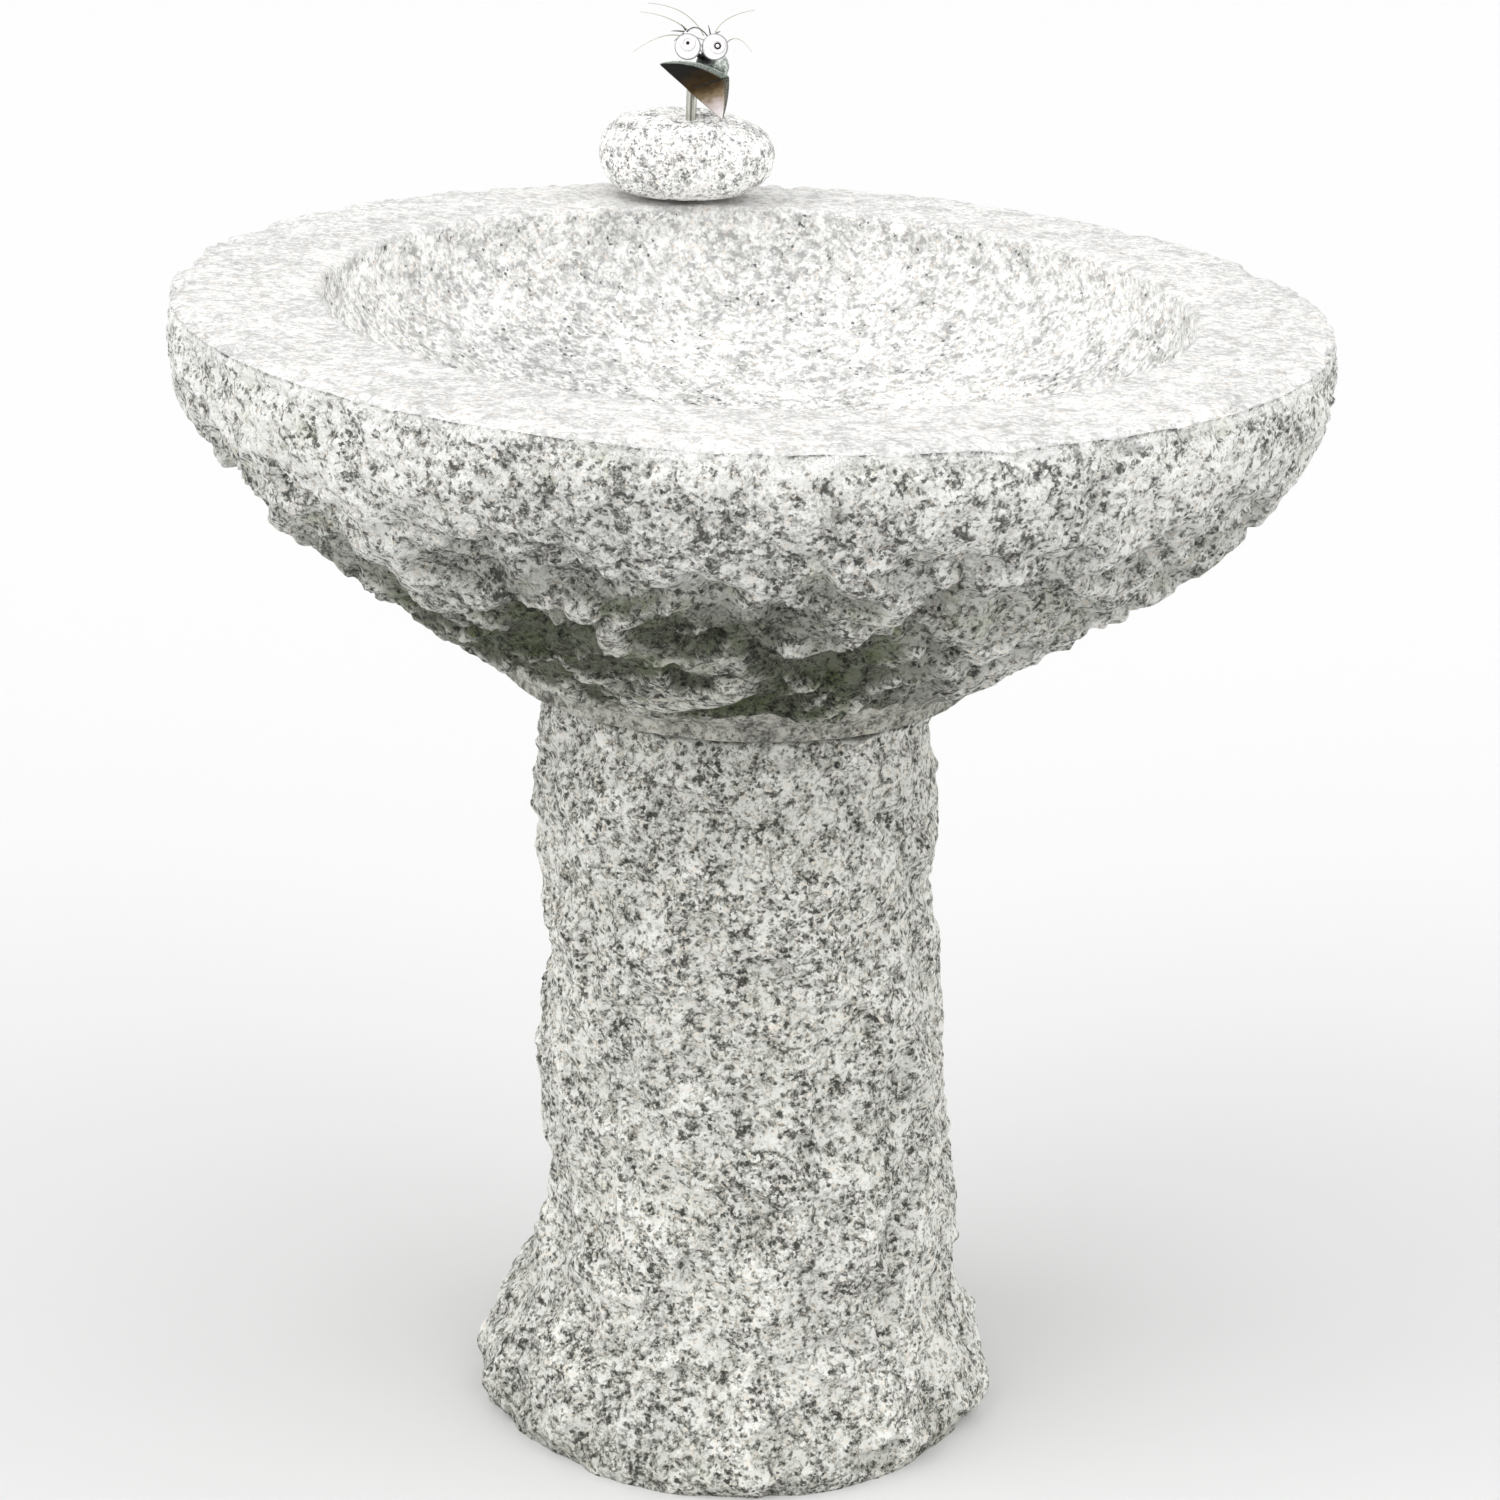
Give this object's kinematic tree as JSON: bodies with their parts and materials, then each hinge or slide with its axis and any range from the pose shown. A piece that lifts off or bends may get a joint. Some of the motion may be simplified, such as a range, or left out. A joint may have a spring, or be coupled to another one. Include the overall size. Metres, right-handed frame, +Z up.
{
  "type": "bird bath",
  "caption": "Granite bird bath: a rough round basin on a rough column, with a loose granite boulder on the rim that carries a small comic bird's head of bent steel.",
  "frame": {"origin": "on the dowel's axis at ground level, at the middle of the whole object's footprint box", "axes": "+Z up; the bird looks towards -Y across the basin; +X is to the right for someone facing the bird"},
  "size_m": [0.6079, 0.608, 0.7373],
  "materials": {
    "granite": "rough split and pitched light grey granite with black mica flecks; the rim and the dish are bush-hammered",
    "boulder_granite": "water-worn pale granite pebble with small dark flecks",
    "dowel_steel": "drawn stainless bar",
    "pad_rubber": "matt black setting pad",
    "bright_steel": "bright stainless sheet and tube with fine scratches",
    "tarnished_steel": "weld-scaled, greenish grey steel",
    "dark_steel": "dark heat-tinted sheet",
    "black_steel": "blackened rivet head",
    "hair_brass": "pale drawn wire"
  },
  "bodies": {
    "pedestal": {"pedestal": "granite", "setting_pads": "pad_rubber"},
    "dowel": {"dowel": "dowel_steel"},
    "basin": {"basin": "granite"},
    "boulder": {"boulder": "boulder_granite"},
    "bird": {"neck_tube": "bright_steel", "neck_weld": "tarnished_steel", "skull": "tarnished_steel", "upper_beak": "dark_steel", "lower_beak": "bright_steel", "beak_seam": "tarnished_steel", "left_eye_stem": "tarnished_steel", "right_eye_stem": "tarnished_steel", "left_eye_disc": "bright_steel", "right_eye_disc": "bright_steel", "left_eye_ring": "bright_steel", "right_eye_ring": "bright_steel", "left_pupil": "black_steel", "right_pupil": "black_steel", "brow_plate": "bright_steel", "brow_wire": "tarnished_steel", "left_lashes": "tarnished_steel", "right_lashes": "tarnished_steel", "hair_crown": "hair_brass", "hair_upper_left": "hair_brass", "hair_lower_left": "hair_brass", "hair_upper_right": "hair_brass", "hair_lower_right": "hair_brass"}
  },
  "joints": [
    {"name": "basin_turn", "type": "hinge", "parent": "pedestal", "child": "dowel", "pos_m": [0, 0, 0.35], "axis": [0, 0, 1], "continuous": true},
    {"name": "basin_lift", "type": "slide", "parent": "dowel", "child": "basin", "axis": [0, 0, 1], "range_m": [0, 0.08]},
    {"name": "boulder_lift", "type": "slide", "parent": "basin", "child": "boulder", "axis": [0, 0, 1], "range_m": [0, 0.1]},
    {"name": "bird_turn", "type": "hinge", "parent": "boulder", "child": "bird", "pos_m": [-0.04, 0.238, 0.68], "axis": [0, 0, 1], "continuous": true}
  ]
}
